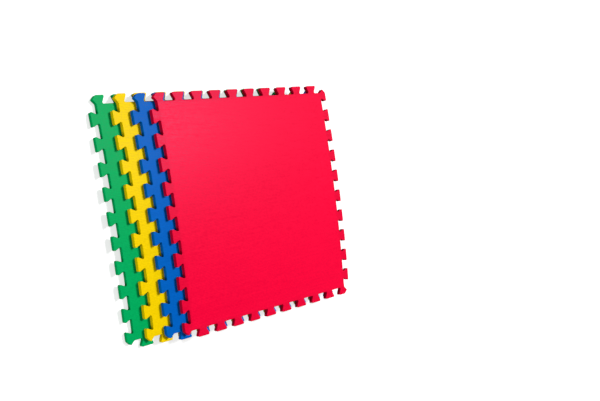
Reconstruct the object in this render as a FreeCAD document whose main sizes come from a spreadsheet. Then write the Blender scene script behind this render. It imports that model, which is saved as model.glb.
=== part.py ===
# A set of four interlocking foam floor tiles, stacked flat and fanned to one side.
#
# Every tile is the same die-cut square of foam: a plain core with a row of dovetail teeth on each
# side. The four sides are one side turned about the middle of the tile, so any side of one tile
# locks into any side of another. The row starts with a corner tooth that wraps round the corner of
# the core and is mitred at 45 degrees, because four tiles share the space where corners meet.
#
# Foam sheet keeps a slight curl, so the stack swells up along its middle line. The strips along its
# front and back edges lie flat. Each tile is cut from a taller blank, once from above and once from
# below, by the same curve, so that the tiles lie on each other with an even gap.
#
# Frame: millimetres, +Z up through the stack, +X the way the upper tiles are shifted. The origin is
# on the floor, under the middle of the whole fan.

import FreeCAD, Part
import os
import Sketcher

DIMENSIONS = [
    # alias, value, meaning
    ("cover", 610, "side of the square of floor that one laid tile covers"),
    ("thickness", 12.7, "thickness of the foam"),
    ("tooth_depth", 21.5, "how far a tooth stands out from the core"),
    ("tooth_count", 10, "teeth on one side, the corner tooth among them"),
    ("first_tooth", 6.4, "from the corner of the core to the middle of the corner tooth"),
    ("flare", 5.2, "how far each flank leans out between half depth and the tip"),
    ("play", 0.3, "room left between a tooth and the slot that takes it"),
    ("tip_radius", 3.6, "rounding of the outer corners of a tooth"),
    ("root_radius", 3.4, "rounding where a tooth meets the core"),
    ("mitre_radius", 2, "rounding of the mitred point of a corner tooth"),
    ("shoulder_radius", 8, "rounding where the mitre meets the outer edge of a corner tooth"),
    ("neck_radius", 7, "rounding where the mitre meets the core"),
    ("swell", 10, "how far the stack stands up along its middle line"),
    ("flat_edge", 28, "width of the strips along the front and back edges that lie flat"),
    ("yellow_shift", 53.2, "shift of the yellow tile along X from the green one"),
    ("blue_shift", 50.0, "shift of the blue tile along X from the yellow one"),
    ("red_shift", 48.0, "shift of the red tile along X from the blue one"),
    ("fan_drop", 2.7, "shift of each tile along -Y from the one below"),
    ("yellow_turn", -0.3, "degrees by which the yellow tile lies out of line"),
    ("air_gap", 0.4, "gap between one tile and the next in the stack"),
]

# Lengths that follow from the sheet, as expressions.
DEPTH = "sizes.tooth_depth"
BODY = "(sizes.cover - sizes.tooth_depth)"
PITCH = f"(({BODY} - 2 * sizes.first_tooth) / (sizes.tooth_count - 0.5))"
MID_HALF = f"(({PITCH} - sizes.play) / 4)"
TIP_HALF = f"({MID_HALF} + sizes.flare)"
ROOT_HALF = f"({MID_HALF} - sizes.flare)"
SINK = "(sizes.tooth_depth / 2)"  # how far the foot of a tooth's profile runs back into the core
TIP_ROUND = "sizes.tip_radius"
ROOT_ROUND = "sizes.root_radius"
SWOLLEN_HALF = f"({BODY} / 2 + {DEPTH} - sizes.flat_edge)"  # from the middle line to a flat strip
BLANK = "(sizes.thickness + 2 * sizes.swell)"  # height of a tile before it is cut to its curve

# The corners of each profile, anticlockwise: x, y and, where the corner is rounded, its radius.
# On a tooth, x runs along its side of the tile and y outwards, and the foot is one pitch wide.
CORE = [
    (f"-{BODY} / 2", f"-{BODY} / 2", None),
    (f"{BODY} / 2", f"-{BODY} / 2", None),
    (f"{BODY} / 2", f"{BODY} / 2", None),
    (f"-{BODY} / 2", f"{BODY} / 2", None),
]
TOOTH = [
    (f"-{PITCH} / 2", f"-{SINK}", None),
    (f"{PITCH} / 2", f"-{SINK}", None),
    (f"{PITCH} / 2", "0", None),
    (ROOT_HALF, "0", ROOT_ROUND),
    (TIP_HALF, DEPTH, TIP_ROUND),
    (f"-{TIP_HALF}", DEPTH, TIP_ROUND),
    (f"-{ROOT_HALF}", "0", ROOT_ROUND),
    (f"-{PITCH} / 2", "0", None),
]
# The corner tooth is measured from the corner of the core. Its free end fills one quarter of the
# square that four laid tiles leave between their corners, so both mitred edges lie at 45 degrees.
CORNER_TOOTH = [
    ("0", f"-{SINK}", None),
    (f"sizes.first_tooth + {PITCH} / 2", f"-{SINK}", None),
    (f"sizes.first_tooth + {PITCH} / 2", "0", None),
    (f"sizes.first_tooth + {ROOT_HALF}", "0", ROOT_ROUND),
    (f"sizes.first_tooth + {TIP_HALF}", DEPTH, TIP_ROUND),
    ("sizes.play", DEPTH, "sizes.shoulder_radius"),
    (f"sizes.play - {DEPTH} / 2", f"{DEPTH} / 2", "sizes.mitre_radius"),
    ("0", "0", "sizes.neck_radius"),
]

# What each cut takes away, seen along X: y and z of the corners from the back end of the curve
# round to its front end. The curve itself closes the outline.
UNDER_CUT = [
    (SWOLLEN_HALF, "0"),
    (SWOLLEN_HALF, "-sizes.swell"),
    (f"-{SWOLLEN_HALF}", "-sizes.swell"),
    (f"-{SWOLLEN_HALF}", "0"),
]
UPPER_CUT = [
    (SWOLLEN_HALF, "sizes.thickness"),
    ("sizes.cover", "sizes.thickness"),
    ("sizes.cover", f"{BLANK} + sizes.swell"),
    ("-sizes.cover", f"{BLANK} + sizes.swell"),
    ("-sizes.cover", "sizes.thickness"),
    (f"-{SWOLLEN_HALF}", "sizes.thickness"),
]

# The stack from the floor up: each tile, its shift from the one below, and its turn out of line.
STACK = [
    ("green_tile", "0", "0"),
    ("yellow_tile", "sizes.yellow_shift", "sizes.yellow_turn"),
    ("blue_tile", "sizes.blue_shift", "0"),
    ("red_tile", "sizes.red_shift", "0"),
]

START, END = 1, 2  # Sketcher's numbers for the points of an edge
ORIGIN = (-1, START)


def make_sheet(doc):
    """Write every driving dimension into the sheet, one to a row."""
    sheet = doc.addObject("Spreadsheet::Sheet", "sizes")
    for row, (alias, value, meaning) in enumerate(DIMENSIONS, start=1):
        sheet.set(f"A{row}", alias)
        sheet.set(f"B{row}", str(value))
        sheet.set(f"C{row}", meaning)
        sheet.setAlias(f"B{row}", alias)
    doc.recompute()


def value_of(sketch, expression):
    """What an expression comes to with the sheet as it stands."""
    return float(sketch.evalExpression(expression))


def rounding(before, corner, after, radius):
    """The arc that rounds a corner: where it starts, its middle and where it ends."""
    back = (before - corner).normalize()
    ahead = (after - corner).normalize()
    inwards = (back + ahead).normalize()
    # The sine and cosine of half the angle between the two edges.
    cosine = inwards.dot(back)
    sine = (1 - cosine**2) ** 0.5
    setback = radius * cosine / sine
    middle = corner + inwards * (radius / sine - radius)
    return corner + back * setback, middle, corner + ahead * setback


def bind_point(sketch, point, x_expression, y_expression, name):
    """Hold a point at two expressions, measured from the sketch's origin."""
    for axis, expression in (("X", x_expression), ("Y", y_expression)):
        value = value_of(sketch, expression)
        sketch.addConstraint(Sketcher.Constraint(f"Distance{axis}", *ORIGIN, *point, value))
        sketch.renameConstraint(sketch.ConstraintCount - 1, f"{name}_{axis.lower()}")
        sketch.setExpression(f"Constraints.{name}_{axis.lower()}", expression)


def draw_profile(sketch, corners):
    """Draw a closed outline through the corners, with an arc at each corner that has a radius."""
    flat = [FreeCAD.Vector(value_of(sketch, x), value_of(sketch, y), 0) for x, y, _ in corners]
    count = len(corners)
    arcs = []
    for i, (_, _, radius) in enumerate(corners):
        if radius is None:
            arcs.append((flat[i], flat[i], flat[i]))
        else:
            arcs.append(rounding(flat[i - 1], flat[i], flat[(i + 1) % count], value_of(sketch, radius)))

    # One straight edge leaves each corner for the next.
    edges = []
    for i in range(count):
        leaves, arrives = arcs[i][2], arcs[(i + 1) % count][0]
        edges.append(sketch.addGeometry(Part.LineSegment(leaves, arrives)))

    for i, (x_expression, y_expression, radius) in enumerate(corners):
        edge_in, edge_out = edges[i - 1], edges[i]
        name = f"corner{i + 1}"
        if radius is None:
            sketch.addConstraint(Sketcher.Constraint("Coincident", edge_in, END, edge_out, START))
            bind_point(sketch, (edge_in, END), x_expression, y_expression, name)
            continue
        arc = sketch.addGeometry(Part.Arc(*arcs[i]))
        arc_ends = sorted((START, END), key=lambda end: (sketch.getPoint(arc, end) - arcs[i][0]).Length)
        sketch.addConstraint(Sketcher.Constraint("Tangent", edge_in, END, arc, arc_ends[0]))
        sketch.addConstraint(Sketcher.Constraint("Tangent", edge_out, START, arc, arc_ends[1]))
        sketch.addConstraint(Sketcher.Constraint("Radius", arc, value_of(sketch, radius)))
        sketch.renameConstraint(sketch.ConstraintCount - 1, f"{name}_radius")
        sketch.setExpression(f"Constraints.{name}_radius", radius)
        # The sharp corner stays as a construction point where the two edges would meet.
        sharp = sketch.addGeometry(Part.Point(flat[i]), True)
        sketch.addConstraint(Sketcher.Constraint("PointOnObject", sharp, START, edge_in))
        sketch.addConstraint(Sketcher.Constraint("PointOnObject", sharp, START, edge_out))
        bind_point(sketch, (sharp, START), x_expression, y_expression, name)


def add_sketch(tile, name, plane, place_x, place_y="0"):
    """An empty sketch on one of the tile's own planes, moved to its place."""
    sketch = tile.newObject("Sketcher::SketchObject", f"{name}_profile")
    support = next(f for f in tile.Origin.OriginFeatures if f.Role == plane)
    sketch.AttachmentSupport = [(support, "")]
    sketch.MapMode = "FlatFace"
    sketch.setExpression("AttachmentOffset.Base.x", place_x)
    sketch.setExpression("AttachmentOffset.Base.y", place_y)
    return sketch


def add_pad(tile, name, corners, place_x="0", place_y="0"):
    """Sketch a profile on the tile's underside and raise it to the height of the blank."""
    sketch = add_sketch(tile, name, "XY_Plane", place_x, place_y)
    draw_profile(sketch, corners)
    pad = tile.newObject("PartDesign::Pad", name)
    pad.Profile = sketch
    pad.setExpression("Length", BLANK)
    pad.Refine = True
    return sketch, pad


def add_cut(tile, name, corners, middle_line):
    """Cut away, all along X, what lies between the corners and the curve of the swell."""
    sketch = add_sketch(tile, name, "YZ_Plane", middle_line)
    flat = [FreeCAD.Vector(value_of(sketch, y), value_of(sketch, z), 0) for y, z in corners]
    edges = [sketch.addGeometry(Part.LineSegment(*ends)) for ends in zip(flat, flat[1:])]
    for i, (y_expression, z_expression) in enumerate(corners[1:], start=1):
        bind_point(sketch, (edges[i - 1], END), y_expression, z_expression, f"corner{i + 1}")
    for edge, following in zip(edges, edges[1:]):
        sketch.addConstraint(Sketcher.Constraint("Coincident", edge, END, following, START))
    bind_point(sketch, (edges[0], START), *corners[0], "corner1")

    # The curve is an arc over the middle line, from the last corner back to the first.
    crown_expression = f"{corners[0][1]} + sizes.swell"
    crown = FreeCAD.Vector(0, value_of(sketch, crown_expression), 0)
    curve = sketch.addGeometry(Part.Arc(flat[-1], crown, flat[0]))
    ends = sorted((START, END), key=lambda end: (sketch.getPoint(curve, end) - flat[-1]).Length)
    sketch.addConstraint(Sketcher.Constraint("Coincident", edges[-1], END, curve, ends[0]))
    sketch.addConstraint(Sketcher.Constraint("Coincident", edges[0], START, curve, ends[1]))
    top = sketch.addGeometry(Part.Point(crown), True)
    sketch.addConstraint(Sketcher.Constraint("PointOnObject", top, START, curve))
    bind_point(sketch, (top, START), "0", crown_expression, "crown")

    pocket = tile.newObject("PartDesign::Pocket", name)
    pocket.Profile = sketch
    pocket.SideType = "Symmetric"
    pocket.setExpression("Length", "2 * sizes.cover")
    tile.Tip = pocket


def add_pattern(tile, kind, name, reference, expressions):
    """Add one step of a MultiTransform, with its numbers bound to the sheet."""
    step = tile.newObject(f"PartDesign::{kind}", name)
    setattr(step, "Direction" if kind == "LinearPattern" else "Axis", reference)
    for prop, expression in expressions.items():
        step.setExpression(prop, expression)
    return step


def drop(level):
    """How far a tile lies towards the back of the fan's middle line, as an expression."""
    return f"-sizes.fan_drop * ({level} - {len(STACK) - 1} / 2)"


def add_tile(doc, name, level):
    """One tile: the core, a tooth repeated along and round the sides, four corner teeth, the swell."""
    tile = doc.addObject("PartDesign::Body", name)
    core_sketch, _ = add_pad(tile, "core", CORE)
    tooth_sketch, tooth = add_pad(
        tile, "tooth", TOOTH, f"sizes.first_tooth + {PITCH} - {BODY} / 2", f"{BODY} / 2"
    )
    doc.recompute()

    along = add_pattern(tile, "LinearPattern", "along_the_side", (tooth_sketch, ["H_Axis"]), {
        "Length": f"{PITCH} * (sizes.tooth_count - 2)",
        "Occurrences": "sizes.tooth_count - 1",
    })
    around = add_pattern(tile, "PolarPattern", "round_the_tile", (core_sketch, ["N_Axis"]), {
        "Occurrences": "4",
    })
    rows = tile.newObject("PartDesign::MultiTransform", "rows_of_teeth")
    rows.Originals = [tooth]
    rows.Transformations = [along, around]
    rows.Refine = True
    tile.Tip = rows
    doc.recompute()

    _, corner_tooth = add_pad(tile, "corner_tooth", CORNER_TOOTH, f"-{BODY} / 2", f"{BODY} / 2")
    corners = tile.newObject("PartDesign::PolarPattern", "corner_teeth")
    corners.Originals = [corner_tooth]
    corners.Axis = (core_sketch, ["N_Axis"])
    corners.Occurrences = 4
    corners.Refine = True
    tile.Tip = corners
    doc.recompute()

    middle_line = f"0 - ({drop(level)})"
    add_cut(tile, "under_cut", UNDER_CUT, middle_line)
    add_cut(tile, "upper_cut", UPPER_CUT, middle_line)
    return tile


def place_tile(tile, level):
    """Lay a tile on the stack. The middle of the whole fan is over the origin."""
    shifts = [shift for _, shift, _ in STACK]
    turn = STACK[level][2]
    tile.setExpression("Placement.Base.x", f"{' + '.join(shifts[:level + 1])} - ({' + '.join(shifts)}) / 2")
    tile.setExpression("Placement.Base.y", drop(level))
    tile.setExpression("Placement.Base.z", f"(sizes.thickness + sizes.air_gap) * {level}")
    tile.setExpression("Placement.Rotation.Angle", turn)


def check(doc, tiles):
    """Stop if any object failed, or if a tile isn't one sound solid."""
    for item in doc.Objects:
        if "Invalid" in item.State or "Error" in item.State:
            raise RuntimeError(f"{item.Label} failed: {item.State}")
    for tile in tiles:
        shape = tile.Shape
        if shape.isNull() or not shape.isValid() or len(shape.Solids) != 1:
            raise RuntimeError(f"{tile.Label} is not one valid solid")


def main():
    doc = FreeCAD.newDocument("foam_floor_tiles")
    make_sheet(doc)
    tiles = []
    for level, (name, _, _) in enumerate(STACK):
        tile = add_tile(doc, name, level)
        place_tile(tile, level)
        tiles.append(tile)
    doc.recompute()
    check(doc, tiles)

    os.makedirs("parts", exist_ok=True)
    for tile in tiles:
        tile.Shape.exportStep(f"parts/{tile.Label}.step")
        box = tile.Shape.BoundBox
        print(f"{tile.Label}: {box.XLength:.1f} x {box.YLength:.1f} x {box.ZLength:.1f} mm, "
              f"{tile.Shape.Volume / 1e6:.3f} litres, {len(tile.Shape.Faces)} faces")


main()
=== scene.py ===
# %% [markdown]
# # Four foam floor tiles, stacked in a fan
#
# The object is a set of four square play-room tiles, die-cut from closed-cell foam: green, yellow,
# blue and red. They lie on each other, each one shifted a little to the right of the one below. This
# lesson builds the visible surface of each tile around a frame of plain solids that already has the
# right sizes and places.
#
# The frame is loaded first, and the sizes and places of the tiles are read from its solids.

# %% Load the frame
import math

import bmesh
import bpy
import numpy as np
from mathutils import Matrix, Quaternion, Vector


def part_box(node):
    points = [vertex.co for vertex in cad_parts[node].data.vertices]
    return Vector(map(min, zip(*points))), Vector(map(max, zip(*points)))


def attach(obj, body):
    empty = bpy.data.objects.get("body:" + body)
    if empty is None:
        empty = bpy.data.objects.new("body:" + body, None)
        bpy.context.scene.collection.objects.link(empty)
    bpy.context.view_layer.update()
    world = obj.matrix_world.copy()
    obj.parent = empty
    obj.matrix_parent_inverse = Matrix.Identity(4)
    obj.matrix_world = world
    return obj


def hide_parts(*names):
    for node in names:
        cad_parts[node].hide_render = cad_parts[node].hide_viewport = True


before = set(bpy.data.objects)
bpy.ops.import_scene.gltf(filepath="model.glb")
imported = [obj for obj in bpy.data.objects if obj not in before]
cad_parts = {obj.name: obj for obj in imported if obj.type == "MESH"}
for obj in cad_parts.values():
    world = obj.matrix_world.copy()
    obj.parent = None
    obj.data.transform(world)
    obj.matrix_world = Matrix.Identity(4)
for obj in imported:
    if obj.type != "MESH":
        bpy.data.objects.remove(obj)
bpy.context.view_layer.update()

# %% [markdown]
# ## The sizes of a tile
#
# All four tiles come off one cutting die, so one set of sizes serves them all. The overall width is
# read from the frame. So is the thickness, once the swell of the stack is taken off the height. The
# rest are the sizes of the die: how deep its teeth are, how far they flare, and how tightly its
# corners are bent. The spacing of the teeth isn't free. A tooth has to meet the middle of a slot on
# any side of any other tile, and that fixes it.

# %% Sizes of the tile, in metres
MM = 0.001
tile_low, tile_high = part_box("green_tile")
WIDTH = tile_high.x - tile_low.x
SWELL = 10 * MM
THICKNESS = tile_high.z - tile_low.z - SWELL
TOOTH_DEPTH = 21.5 * MM
TOOTH_COUNT = 10
FIRST_TOOTH = 6.4 * MM
FLARE = 5.2 * MM
PLAY = 0.3 * MM
TIP_RADIUS = 3.6 * MM
ROOT_RADIUS = 3.4 * MM
MITRE_RADIUS = 2 * MM
SHOULDER_RADIUS = 8 * MM
NECK_RADIUS = 7 * MM

CORE = WIDTH - 2 * TOOTH_DEPTH
PITCH = (CORE - 2 * FIRST_TOOTH) / (TOOTH_COUNT - 0.5)
TIP_HALF = (PITCH - PLAY) / 4 + FLARE
ROOT_HALF = (PITCH - PLAY) / 4 - FLARE
print(f"core {CORE / MM:.1f} mm, tooth pitch {PITCH / MM:.2f} mm, thickness {THICKNESS / MM:.1f} mm")

# %% [markdown]
# ## One side as a list of corners
#
# Seen from above, a side is a zigzag of straight cuts. It is written with u running along the side
# and v pointing out of the tile. The corner tooth comes first: it wraps round the corner of the core
# and ends in two mitred cuts at 45 degrees, because four tiles share the space where corners meet.
# Nine plain dovetail teeth follow, and they are one shape moved along by one pitch at a time, so
# they are made by adding a column of middles to a row of four corners.

# %% Corners of one side
def side_corners():
    """u, v and radius of every corner along one side, from the corner tooth onwards.

    A plain tooth with its middle at m has its foot at m - ROOT_HALF and m + ROOT_HALF on the core
    (v = 0), and its tip at m - TIP_HALF and m + TIP_HALF (v = TOOTH_DEPTH)."""
    corner_tooth = np.array([
        (0, 0, NECK_RADIUS),
        (PLAY - TOOTH_DEPTH / 2, TOOTH_DEPTH / 2, MITRE_RADIUS),
        (PLAY, TOOTH_DEPTH, SHOULDER_RADIUS),
        (FIRST_TOOTH + TIP_HALF, TOOTH_DEPTH, TIP_RADIUS),
        (FIRST_TOOTH + ROOT_HALF, 0, ROOT_RADIUS),
    ])
    plain_tooth = np.array([
        (-ROOT_HALF, 0, ROOT_RADIUS),
        (-TIP_HALF, TOOTH_DEPTH, TIP_RADIUS),
        (TIP_HALF, TOOTH_DEPTH, TIP_RADIUS),
        (ROOT_HALF, 0, ROOT_RADIUS),
    ])
    middles = FIRST_TOOTH + PITCH * np.arange(1, TOOTH_COUNT)
    plain_teeth = np.tile(plain_tooth, (len(middles), 1))
    plain_teeth[:, 0] += np.repeat(middles, len(plain_tooth))
    return np.concatenate([corner_tooth, plain_teeth])


def quarter_turns(points):
    """The same points on all four sides: turning by a right angle takes (x, y) to (y, -x)."""
    sides = [points]
    for _ in range(3):
        x, y = sides[-1][..., 0], sides[-1][..., 1]
        sides.append(np.stack([y, -x], axis=-1))
    return np.stack(sides)


print("corners on one side:", len(side_corners()))

# %% [markdown]
# ## Bending the cutting rule round the corners
#
# The die is a steel rule bent into shape, so it can't make a sharp corner. Blender's Bevel tool could
# round the corners of a finished mesh, but here the arcs are worked out before there is any mesh,
# for all corners at once. Each arc also gives the outward direction at each of its points, which the
# wall will need later.

# %% Arcs at the corners
ARC_STEPS = 24


def corner_arcs(corners, radii):
    """Round every corner of a closed clockwise outline: points and outward directions of the arcs.

    Where the outline turns by an angle t, the arc starts r * tan(t / 2) before the corner. Its
    heading grows evenly from that of the edge before to that of the edge after. The outward
    direction is the heading turned left, and the arc's centre lies r inside a tip and r outside a
    root, so a point is centre + r * outward at a tip and centre - r * outward at a root."""
    before = corners - np.roll(corners, 1, axis=0)
    after = np.roll(corners, -1, axis=0) - corners
    heading_in = np.arctan2(before[:, 1], before[:, 0])
    heading_out = np.arctan2(after[:, 1], after[:, 0])
    turn = (heading_out - heading_in + np.pi) % (2 * np.pi) - np.pi
    setback = radii * np.tan(np.abs(turn) / 2)
    along = np.stack([np.cos(heading_in), np.sin(heading_in)], axis=-1)
    start = corners - along * setback[:, None]
    share = np.linspace(0, 1, ARC_STEPS + 1)
    heading = heading_in[:, None] + turn[:, None] * share
    outward = np.stack([-np.sin(heading), np.cos(heading)], axis=-1)
    signed_radius = (-np.sign(turn) * radii)[:, None]
    centre = start - signed_radius * outward[:, 0]
    points = centre[:, None] + signed_radius[:, None] * outward
    return points, outward


# %% [markdown]
# ## The two flanks of every tooth
#
# A tooth is easiest to fill as a ruled surface between its left flank and its right flank. Each flank
# is one smooth path: an arc at the foot, a straight cut, an arc at the tip. Both are resampled to the
# same number of points, evenly along their length, and then each pair of points is joined by a row.

# %% Flanks
FLANK_STEPS = 26


def evenly_along(points, outward):
    """Resample a path to FLANK_STEPS equal steps of its own length."""
    step = np.linalg.norm(np.diff(points, axis=0), axis=1)
    length = np.concatenate([[0], np.cumsum(step)])
    wanted = np.linspace(0, length[-1], FLANK_STEPS + 1)
    columns = [np.interp(wanted, length, column) for column in np.hstack([points, outward]).T]
    path = np.stack(columns, axis=-1)
    direction = path[:, 2:] / np.linalg.norm(path[:, 2:], axis=1, keepdims=True)
    return path[:, :2], direction


def tooth_flanks():
    """Left and right flanks of all the teeth, foot first, in clockwise order round the tile.

    Each result has the shape (tooth, point, 2): one array of points, one of outward directions."""
    side = side_corners()
    on_tile = side[:, :2] + np.array([-CORE / 2, CORE / 2])
    outline = quarter_turns(on_tile).reshape(-1, 2)
    points, outward = corner_arcs(outline, np.tile(side[:, 2], 4))
    points, outward = points[:len(side)], outward[:len(side)]
    left, right = [], []
    for tooth in range(TOOTH_COUNT):
        # The corner tooth has three corners on its left flank, and every other flank has two.
        first = 0 if tooth == 0 else 1 + 4 * tooth
        tip = first + (3 if tooth == 0 else 2)
        rising, falling = slice(first, tip), slice(tip, tip + 2)
        left.append(evenly_along(points[rising].reshape(-1, 2), outward[rising].reshape(-1, 2)))
        falling_points, falling_out = points[falling].reshape(-1, 2), outward[falling].reshape(-1, 2)
        right.append(evenly_along(falling_points[::-1], falling_out[::-1]))
    flanks = []
    for side_flanks in (left, right):
        for part in zip(*side_flanks):
            flanks.append(quarter_turns(np.stack(part)).reshape(-1, FLANK_STEPS + 1, 2))
    return flanks


left, left_out, right, right_out = tooth_flanks()
print("teeth:", len(left), "- points on each flank:", left.shape[1])

# %% [markdown]
# ## The wall: a profile carried round the outline
#
# A steel rule squeezes the foam before it cuts. The skin of the upper face is drawn over the edge in
# a small round, the lower edge springs back into a larger one, and the wall between them is a little
# hollow. The lower round leaves a dark line under every tile that lies on another.
# That profile is a short list of distances out from the outline and heights above the floor, and it
# is carried along the whole outline. The wall could be a Bevel and a Solidify modifier instead, but
# then the hollow in it would need a second tool.

# %% Profile of the wall
UPPER_ROUND = 1.3 * MM
LOWER_ROUND = 2.2 * MM
WAIST = 0.35 * MM
ROUND_STEPS = 5
WALL_STEPS = 6


def wall_profile():
    """Distance out and height of each point, from the upper face down to the lower one.

    The rounds are quarter circles. Between them the wall is hollow by WAIST * sin(pi * share)."""
    angle = np.linspace(np.pi / 2, 0, ROUND_STEPS + 1)
    upper_out = UPPER_ROUND * (np.cos(angle) - 1)
    upper_height = THICKNESS + UPPER_ROUND * (np.sin(angle) - 1)
    share = np.linspace(0, 1, WALL_STEPS + 1)[1:-1]
    waist_out = -WAIST * np.sin(np.pi * share)
    waist_height = upper_height[-1] + share * (LOWER_ROUND - upper_height[-1])
    lower_out = LOWER_ROUND * (np.cos(angle[::-1]) - 1)
    lower_height = LOWER_ROUND * (1 - np.sin(angle[::-1]))
    out = np.concatenate([upper_out, waist_out, lower_out])
    height = np.concatenate([upper_height, waist_height, lower_height])
    return out, height


profile_out, profile_height = wall_profile()
print("points down the wall:", len(profile_out))

# %% [markdown]
# ## Filling the face
#
# A face is filled with three kinds of grid that share their border points: one ruled grid in each
# tooth, and one set of shrinking rings over the core. Rows crowd together near the edges, so that
# the light runs flat over the face and turns only at the round.

# %% Grids over a face
TOOTH_COLUMNS = 10
SLOT_COLUMNS = 6
CORE_RINGS = 16
RING_CROWDING = 1.7


def crowded(steps):
    """Shares from 0 to 1 that crowd towards both ends: (1 - cos(pi * t)) / 2."""
    return (1 - np.cos(np.pi * np.linspace(0, 1, steps + 1))) / 2


def between(start, end, shares):
    """Points on the straight line from start to end at each share, on a new axis before the last."""
    return start[..., None, :] + (end - start)[..., None, :] * shares[:, None]


def border(inset):
    """The outline moved in by inset: each tooth's ruled grid, each slot's floor."""
    left_edge, right_edge = left - inset * left_out, right - inset * right_out
    tooth_grids = between(left_edge, right_edge, crowded(TOOTH_COLUMNS))
    next_foot = np.roll(left_edge[:, 0], -1, axis=0)
    slot_floors = between(right_edge[:, 0], next_foot, crowded(SLOT_COLUMNS))
    return tooth_grids, slot_floors


def face_grids(inset):
    """Flat grids over one face whose edge is the outline moved in by inset."""
    tooth_grids, slot_floors = border(inset)
    rim = np.concatenate([tooth_grids[:, 0], slot_floors[:, 1:-1]], axis=1).reshape(-1, 2)
    ring = 1 - np.linspace(0, 1, CORE_RINGS + 1) ** RING_CROWDING
    rings = rim[None] * ring[:, None, None]
    return tooth_grids, rings


def wall_grid():
    """The profile carried round the outline: rows go round the tile and columns down the wall."""
    tooth_grids, slot_floors = border(0)
    tip = tooth_grids[:, -1, 1:-1]
    tip_out = np.broadcast_to(left_out[:, -1:], tip.shape)
    floor = slot_floors[:, 1:-1]
    floor_out = np.broadcast_to(right_out[:, :1], floor.shape)
    outline = np.concatenate([left, tip, right[:, ::-1], floor], axis=1).reshape(-1, 2)
    outward = np.concatenate([left_out, tip_out, right_out[:, ::-1], floor_out], axis=1)
    outward = outward.reshape(-1, 2)
    flat = outline[:, None] + outward[:, None] * profile_out[:, None]
    height = np.broadcast_to(profile_height, flat.shape[:2])
    return np.dstack([flat, height])


print("wall grid:", wall_grid().shape[:2], "- core rings:", face_grids(0)[1].shape[:2])

# %% [markdown]
# ## The swell of the stack
#
# Foam sheet is never quite flat. This set swells up along its middle line, by about a centimetre, and
# lies flat along its front and back edges. Each tile lies on the one below, so they all share one
# curve. That is why the curve depends on the place in the room and not on the tile: however the tiles
# are shifted, the gap between them stays the same. The curve runs gently into the flat edges. The
# usual way to join two curves without a crease is a smooth maximum, and half of (a + sqrt(a * a +
# soft * soft)) is one, for the larger of a and zero.

# %% Swell
FLAT_EDGE = 28 * MM
SOFTNESS = 0.5 * MM
SWOLLEN_HALF = WIDTH / 2 - FLAT_EDGE
SWELL_RADIUS = (SWOLLEN_HALF**2 + SWELL**2) / (2 * SWELL)


def swell(y):
    """How far the foam stands up at y: a circular arc over the middle line, softly cut off at zero."""
    arc = np.sqrt(SWELL_RADIUS**2 - np.square(y)) - (SWELL_RADIUS - SWELL)
    return (arc + np.sqrt(arc**2 + SOFTNESS**2)) / 2


print(f"swell in the middle: {swell(0.0) / MM:.1f} mm, at an edge: {swell(WIDTH / 2) / MM:.2f} mm")

# %% [markdown]
# ## From grids to one closed mesh
#
# Each grid becomes a block of quads. The blocks are written one after another into a single mesh with
# from_pydata, and the border points that two blocks share are merged. The rings run down to one
# point in the middle, so the merge closes that pole too. Every point also carries a number called
# rim: 1 on the teeth, and down to 0 a little way in from them. The materials darken the rim's colour
# with it.

# %% Mesh of a tile
MERGE_DISTANCE = 0.005 * MM
RIM_WIDTH = 9 * MM


def grid_quads(rows, columns, first, closed):
    """Corner numbers of the quads of a grid whose points are numbered row by row from first."""
    row = np.arange(rows if closed else rows - 1)[:, None]
    column = np.arange(columns - 1)[None, :]
    here = row * columns + column
    beside = (row + 1) % rows * columns + column
    return first + np.stack([here, here + 1, beside + 1, beside], axis=-1).reshape(-1, 4)


def tile_grids():
    """Every grid of one tile about its own middle, with True where its rows close into a loop."""
    grids = [(wall_grid(), True)]
    for inset, height in ((UPPER_ROUND, THICKNESS), (LOWER_ROUND, 0.0)):
        tooth_grids, rings = face_grids(inset)
        for grid in tooth_grids:
            grids.append((np.dstack([grid, np.full(grid.shape[:2], height)]), False))
        around = rings.transpose(1, 0, 2)
        grids.append((np.dstack([around, np.full(around.shape[:2], height)]), True))
    return grids


def tile_mesh(name, node, turn):
    """The mesh of one tile, turned about its middle, moved to its place and bent to the swell."""
    low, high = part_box(node)
    middle_x, middle_y = (low.x + high.x) / 2, (low.y + high.y) / 2
    points, quads, count = [], [], 0
    for grid, closed in tile_grids():
        rows, columns = grid.shape[:2]
        quads.append(grid_quads(rows, columns, count, closed))
        points.append(grid.reshape(-1, 3))
        count += rows * columns
    flat_x, flat_y, height = np.concatenate(points).T
    x = middle_x + flat_x * math.cos(turn) - flat_y * math.sin(turn)
    y = middle_y + flat_x * math.sin(turn) + flat_y * math.cos(turn)
    z = low.z + height + swell(y)
    mesh = bpy.data.meshes.new(name)
    mesh.from_pydata(np.stack([x, y, z], axis=-1), [], np.concatenate(quads))
    past_roots = np.maximum(np.abs(flat_x), np.abs(flat_y)) - (WIDTH / 2 - TOOTH_DEPTH)
    rim = np.clip(1 + past_roots / RIM_WIDTH, 0, 1)
    mesh.attributes.new("rim", "FLOAT", "POINT").data.foreach_set("value", rim)

    shape = bmesh.new()
    shape.from_mesh(mesh)
    bmesh.ops.remove_doubles(shape, verts=shape.verts, dist=MERGE_DISTANCE)
    bmesh.ops.recalc_face_normals(shape, faces=shape.faces)
    open_edges = sum(1 for edge in shape.edges if not edge.is_manifold)
    shape.to_mesh(mesh)
    shape.free()
    mesh.shade_smooth()
    print(f"{name}: {len(mesh.polygons)} faces, {open_edges} open edges")
    return mesh


# %% [markdown]
# ## The stack
#
# Each tile is a piece of its own. It rides on its own body and stands in for the plain solid in the
# frame. The yellow tile was laid slightly out of line.

# %% The four tiles
TURNS = {"yellow": math.radians(-0.3)}

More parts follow.
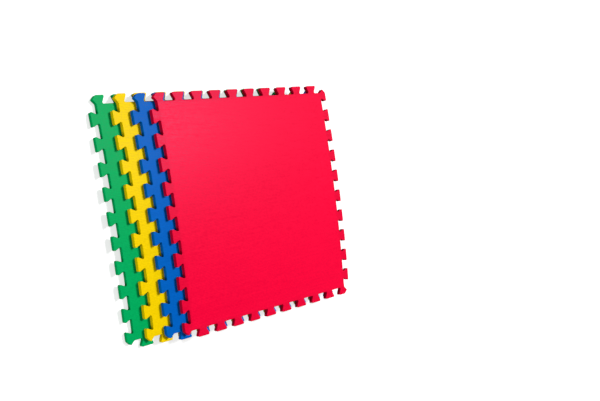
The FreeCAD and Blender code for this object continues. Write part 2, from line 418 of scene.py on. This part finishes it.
tiles = {}
for colour in ("green", "yellow", "blue", "red"):
    node = f"{colour}_tile"
    name = f"{colour}_foam_tile"
    tile = bpy.data.objects.new(name, tile_mesh(name, node, TURNS.get(colour, 0.0)))
    bpy.context.scene.collection.objects.link(tile)
    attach(tile, node)
    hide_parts(node)
    tiles[colour] = tile

# %% [markdown]
# ## A small kit for shader nodes
#
# The finishes are built from nodes. A node group is made once, with named inputs and outputs, and
# each tile's material places it with its own values. These helpers add a node, set its sockets and
# link its inputs in one call, so that each finish reads as a short list.

# %% Node helpers
def add_node(tree, kind, inputs=None, **settings):
    """Add a node, set its properties, then set or link each named or numbered input."""
    node = tree.nodes.new(kind)
    for key, value in settings.items():
        setattr(node, key, value)
    for key, value in (inputs or {}).items():
        if isinstance(value, bpy.types.NodeSocket):
            tree.links.new(value, node.inputs[key])
        else:
            node.inputs[key].default_value = value
    return node


def math_node(tree, operation, first, second=0.0, third=0.0, clamp=False):
    """The result of one step of arithmetic."""
    inputs = {0: first, 1: second, 2: third}
    return add_node(tree, "ShaderNodeMath", inputs, operation=operation, use_clamp=clamp).outputs[0]


def noise_node(tree, place, scale, detail):
    """A soft noise from 0 to 1 at a place."""
    inputs = {"Vector": place, "Scale": scale, "Detail": detail}
    return add_node(tree, "ShaderNodeTexNoise", inputs).outputs["Fac"]


def mix_node(tree, share, start, end):
    """start where share is 0, end where it is 1, and a blend between."""
    return add_node(tree, "ShaderNodeMix", {"Factor": share, "A": start, "B": end}).outputs["Result"]


def stepped(tree, value, low, high):
    """0 below low, 1 above high, and a straight climb between."""
    inputs = {"Value": value, "From Min": low, "From Max": high}
    return add_node(tree, "ShaderNodeMapRange", inputs).outputs["Result"]


def new_group(name, inputs, outputs):
    """An empty shader node group with float inputs (name: default) and float outputs."""
    group = bpy.data.node_groups.new(name, "ShaderNodeTree")
    for label, default in inputs.items():
        socket = group.interface.new_socket(label, in_out="INPUT", socket_type="NodeSocketFloat")
        socket.default_value = default
    for label in outputs:
        group.interface.new_socket(label, in_out="OUTPUT", socket_type="NodeSocketFloat")
    entry = group.nodes.new("NodeGroupInput")
    leave = group.nodes.new("NodeGroupOutput")
    return group, entry.outputs, leave.inputs


# %% [markdown]
# ## Skin grain
#
# The face of a tile is the skin that formed against a textured press plate: very fine lines, all
# running the same way, that only show as a faint stripe in the light. One sine wave across the tile
# would look machined, so it is bent slightly by a noise, and a second noise, stretched along the
# lines into streaks, lets them fade in and out. The streaks also show a little by themselves.

# %% Group: skin grain
LINE_PITCH = 4 * MM
STREAK_SCALES = (14.0, 420.0, 14.0)
LINE_WEIGHT = 0.7
STREAK_WEIGHT = 0.5


def make_skin_grain():
    """Height of the pressed lines, 0 to 1: sin(2 * pi * y / pitch), bent and faded by noise."""
    settings = {"Line pitch": LINE_PITCH, "Wander": 0.3}
    group, inputs, outputs = new_group("skin_grain", settings, ["Height"])
    place = add_node(group, "ShaderNodeTexCoord").outputs["Object"]
    y = add_node(group, "ShaderNodeSeparateXYZ", {0: place}).outputs["Y"]
    bent = math_node(group, "MULTIPLY", noise_node(group, place, 9.0, 2.0), inputs["Wander"])
    phase = math_node(group, "ADD", math_node(group, "DIVIDE", y, inputs["Line pitch"]), bent)
    wave = math_node(group, "SINE", math_node(group, "MULTIPLY", phase, 2 * math.pi))
    lines = math_node(group, "MULTIPLY_ADD", wave, 0.5, 0.5)
    stretch = {0: place, 1: STREAK_SCALES}
    stretched = add_node(group, "ShaderNodeVectorMath", stretch, operation="MULTIPLY").outputs[0]
    streaks = noise_node(group, stretched, 1.0, 3.0)
    faded = math_node(group, "MULTIPLY", math_node(group, "MULTIPLY", lines, streaks), LINE_WEIGHT)
    shown = math_node(group, "MULTIPLY", streaks, STREAK_WEIGHT)
    group.links.new(math_node(group, "ADD", faded, shown, clamp=True), outputs["Height"])
    return group


skin_grain = make_skin_grain()

# %% [markdown]
# ## Cut foam
#
# The walls show the inside of the foam: small closed bubbles, sliced open. A Voronoi texture gives
# one cell to each bubble, and the distance to the cell's middle gives its hollow.

# %% Group: cut cells
HOLLOW_STEEPNESS = 1.3


def make_cut_cells():
    """Height of sliced bubbles, from 0 in a hollow to 1 on the film between two bubbles."""
    group, inputs, outputs = new_group("cut_cells", {"Cells per metre": 900.0}, ["Height"])
    place = add_node(group, "ShaderNodeTexCoord").outputs["Object"]
    bubbles = {"Vector": place, "Scale": inputs["Cells per metre"]}
    distance = add_node(group, "ShaderNodeTexVoronoi", bubbles).outputs["Distance"]
    height = math_node(group, "MULTIPLY", distance, HOLLOW_STEEPNESS, clamp=True)
    group.links.new(height, outputs["Height"])
    return group


cut_cells = make_cut_cells()

# %% [markdown]
# ## Handling
#
# A used tile isn't one even colour. Broad, faint clouds come from the way the foam cooled, and small
# dull scuffs come from shoes and knees. Both are masks, and the material decides how strongly they
# act on its colour and its gloss.

# %% Group: handling
def make_handling():
    """Two masks from 0 to 1: broad clouds of shade, and small sparse scuffs."""
    settings = {"Cloud scale": 5.0, "Scuff scale": 60.0}
    group, inputs, outputs = new_group("handling", settings, ["Clouds", "Scuffs"])
    place = add_node(group, "ShaderNodeTexCoord").outputs["Object"]
    scuffs = noise_node(group, place, inputs["Scuff scale"], 5.0)
    group.links.new(noise_node(group, place, inputs["Cloud scale"], 3.0), outputs["Clouds"])
    group.links.new(stepped(group, scuffs, 0.62, 0.78), outputs["Scuffs"])
    return group


handling = make_handling()

# %% [markdown]
# ## The foam itself
#
# One function makes all four materials. The skin and the cut wall differ in grain, and the wall's
# colour is darker than the skin's: painted shade. The direction of the surface tells them apart: the
# skin faces up or down, and the wall faces sideways. Foam is matt, so the specular level is very low
# and the roughness high. Feet and hands have polished the skin of the top tile a little, so it takes
# more of a sheen than the rest, and the colour of its rim is a little darker.

# %% Foam materials
MOTTLE_SCALE = 170.0
WALL_ROUGHNESS = 0.8
BUMP_DEPTH = 0.2 * MM


def foam_material(name, skin_colour, gloss, gloss_tint, rim_shade, cut_painted_shade):
    """Satin foam skin on the faces and rough cut foam on the walls, in one colour."""
    material = bpy.data.materials.new(name)
    material.use_nodes = True
    tree = material.node_tree
    shader = tree.nodes["Principled BSDF"]
    shader.inputs["Specular IOR Level"].default_value = gloss
    shader.inputs["Specular Tint"].default_value = gloss_tint

    normal = add_node(tree, "ShaderNodeNewGeometry").outputs["Normal"]
    normal_z = add_node(tree, "ShaderNodeSeparateXYZ", {0: normal}).outputs["Z"]
    steepness = math_node(tree, "SUBTRACT", 1.0, math_node(tree, "ABSOLUTE", normal_z))
    wall = stepped(tree, steepness, 0.25, 0.7)

    grain = add_node(tree, "ShaderNodeGroup", {}, node_tree=skin_grain).outputs["Height"]
    cells = add_node(tree, "ShaderNodeGroup", {}, node_tree=cut_cells).outputs["Height"]
    worn = add_node(tree, "ShaderNodeGroup", {}, node_tree=handling).outputs
    fine = {"Cloud scale": MOTTLE_SCALE}
    mottle = add_node(tree, "ShaderNodeGroup", fine, node_tree=handling).outputs["Clouds"]
    rim = add_node(tree, "ShaderNodeAttribute", {}, attribute_name="rim").outputs["Fac"]

    # The skin's colour is scaled by about 1. Each mask moves the scale by its own weight: a factor is
    # weight * mask + base, and the factors are multiplied. The wall's darker scale is painted shade.
    shade = math_node(tree, "MULTIPLY_ADD", worn["Clouds"], 0.10, 0.93)
    # The rim's factor makes the skin's colour a little darker along the rim of the top tile.
    for mask, weight, base in (
        (grain, 0.22, 0.88), (mottle, 0.24, 0.88), (rim, rim_shade - 1.0, 1.0)
    ):
        factor = math_node(tree, "MULTIPLY_ADD", mask, weight, base)
        shade = math_node(tree, "MULTIPLY", shade, factor)
    # Painted shade: the cut wall's colour is scaled below the skin's, most of all on the red tile.
    cut = math_node(tree, "MULTIPLY_ADD", cells, 0.15, cut_painted_shade - 0.1)
    colour = {0: skin_colour, "Scale": mix_node(tree, wall, shade, cut)}
    tinted = add_node(tree, "ShaderNodeVectorMath", colour, operation="SCALE")
    tree.links.new(tinted.outputs[0], shader.inputs["Base Color"])

    # The skin is smoothest at the bottom of a line, and each mask roughens it.
    skin_rough = 0.14
    for mask, weight in ((grain, 0.24), (mottle, 0.26), (worn["Scuffs"], 0.12)):
        skin_rough = math_node(tree, "MULTIPLY_ADD", mask, weight, skin_rough)
    rough = mix_node(tree, wall, skin_rough, WALL_ROUGHNESS)
    tree.links.new(rough, shader.inputs["Roughness"])

    relief = {"Height": mix_node(tree, wall, grain, cells), "Distance": BUMP_DEPTH, "Strength": 0.6}
    bump = add_node(tree, "ShaderNodeBump", relief)
    tree.links.new(bump.outputs["Normal"], shader.inputs["Normal"])
    return material


def linear(red, green, blue):
    """An everyday 0 to 255 colour as the linear values that shaders work in."""
    srgb = np.array([red, green, blue]) / 255
    return tuple(np.where(srgb <= 0.04045, srgb / 12.92, ((srgb + 0.055) / 1.055) ** 2.4))


SKIN_COLOURS = {
    "green": linear(0, 171, 94),
    "yellow": linear(250, 212, 0),
    "blue": linear(0, 98, 194),
    "red": linear(249, 0, 57),
}
PLAIN_SKIN = {"gloss": 0.02, "gloss_tint": (1.0, 1.0, 1.0, 1.0), "rim_shade": 1.0}
POLISHED_SKIN = {"gloss": 0.08, "gloss_tint": (0.25, 0.55, 1.0, 1.0), "rim_shade": 0.89}
# Painted shade on the cut walls: the scale of their colour against the skin's.
CUT_PAINTED_SHADES = {"green": 0.86, "yellow": 0.82, "blue": 0.86, "red": 0.58}
for colour, tile in tiles.items():
    skin = POLISHED_SKIN if colour == "red" else PLAIN_SKIN
    skin_colour, cut_painted_shade = SKIN_COLOURS[colour], CUT_PAINTED_SHADES[colour]
    foam = foam_material(f"{colour}_foam", skin_colour, cut_painted_shade=cut_painted_shade, **skin)
    tile.data.materials.append(foam)
    print("finished", tile.name)

# %% [markdown]
# ## Floor
#
# The set lies on a plain pale floor, a wide disc a hair below the tiles. To the camera it glows up
# to white and keeps a faint shadow, while the light that it throws back on the foam is that of an
# ordinary pale surface.

# %% Floor
FLOOR_RADIUS = 9.0
FLOOR_DROP = 0.2 * MM
FLOOR_GLOW = 0.68


def make_floor():
    """A round floor just under the tiles."""
    bpy.ops.mesh.primitive_circle_add(vertices=96, radius=FLOOR_RADIUS, fill_type="NGON")
    floor = bpy.context.object
    floor.location.z = -FLOOR_DROP
    floor.name = "floor"
    material = bpy.data.materials.new("pale_floor")
    material.use_nodes = True
    tree = material.node_tree
    shader = tree.nodes["Principled BSDF"]
    shader.inputs["Base Color"].default_value = (0.55, 0.55, 0.55, 1.0)
    shader.inputs["Roughness"].default_value = 0.9
    shader.inputs["Specular IOR Level"].default_value = 0.0
    camera_ray = add_node(tree, "ShaderNodeLightPath").outputs["Is Camera Ray"]
    glow = math_node(tree, "MULTIPLY", camera_ray, FLOOR_GLOW)
    shader.inputs["Emission Color"].default_value = (1.0, 1.0, 1.0, 1.0)
    tree.links.new(glow, shader.inputs["Emission Strength"])
    floor.data.materials.append(material)


make_floor()

# %% [markdown]
# ## Light
#
# A soft lamp stands high at the far end, a little towards the back, so the near walls of the tiles
# are in shade and each tile throws a narrow shadow on the one below it. The sky fills the rest
# evenly. A second lamp stands low behind the viewer. It grazes the faces and lights the near walls,
# which would be too dark to tell their colours otherwise.

# %% Lamps and sky
SKY_LEVEL = 0.22


def soft_lamp(name, place, size, power):
    """A square area lamp at a place, turned towards the origin."""
    light = bpy.data.lights.new(name, "AREA")
    light.size = size
    light.energy = power
    lamp = bpy.data.objects.new(name, light)
    bpy.context.scene.collection.objects.link(lamp)
    lamp.location = place
    lamp.rotation_euler = (-Vector(place)).to_track_quat("-Z", "Y").to_euler()


soft_lamp("key_lamp", (3.5, 2.1, 7.0), 2.2, 624.0)
soft_lamp("wall_lamp", (-3.5, -0.6, 0.65), 1.0, 40.0)
world = bpy.data.worlds.new("studio")
bpy.context.scene.world = world
world.use_nodes = True
sky = world.node_tree
is_camera = add_node(sky, "ShaderNodeLightPath").outputs["Is Camera Ray"]
background = sky.nodes["Background"]
background.inputs["Color"].default_value = (1.0, 1.0, 1.0, 1.0)
sky.links.new(mix_node(sky, is_camera, SKY_LEVEL, 1.0), background.inputs["Strength"])

# %% [markdown]
# ## Camera
#
# The camera stands at the left end of the fan and looks down along it, turned on its side, so that
# the far end of the fan comes out on the right. The lens is shifted because the view is one corner
# of a wider picture.

# %% Camera
CAMERA_PLACE = (-1.1810, 0.0348, 1.4359)
CAMERA_AIM = (-0.2675, -0.1441, 0.0400)
CAMERA_ROLL = math.radians(90.44)
LENS = 39.65
SHIFT = (0.2249, 0.1255)


def make_camera():
    """A camera at its place, aimed at a point and rolled about its own line of sight."""
    data = bpy.data.cameras.new("camera")
    data.lens = LENS
    data.sensor_width = 36.0
    data.shift_x, data.shift_y = SHIFT
    camera = bpy.data.objects.new("camera", data)
    bpy.context.scene.collection.objects.link(camera)
    camera.location = CAMERA_PLACE
    sight = Vector(CAMERA_AIM) - Vector(CAMERA_PLACE)
    level_view = sight.to_track_quat("-Z", "Y")
    camera.rotation_mode = "QUATERNION"
    camera.rotation_quaternion = level_view @ Quaternion((0.0, 0.0, 1.0), CAMERA_ROLL)
    return camera


bpy.context.scene.camera = make_camera()
bpy.context.scene.view_settings.view_transform = "Standard"
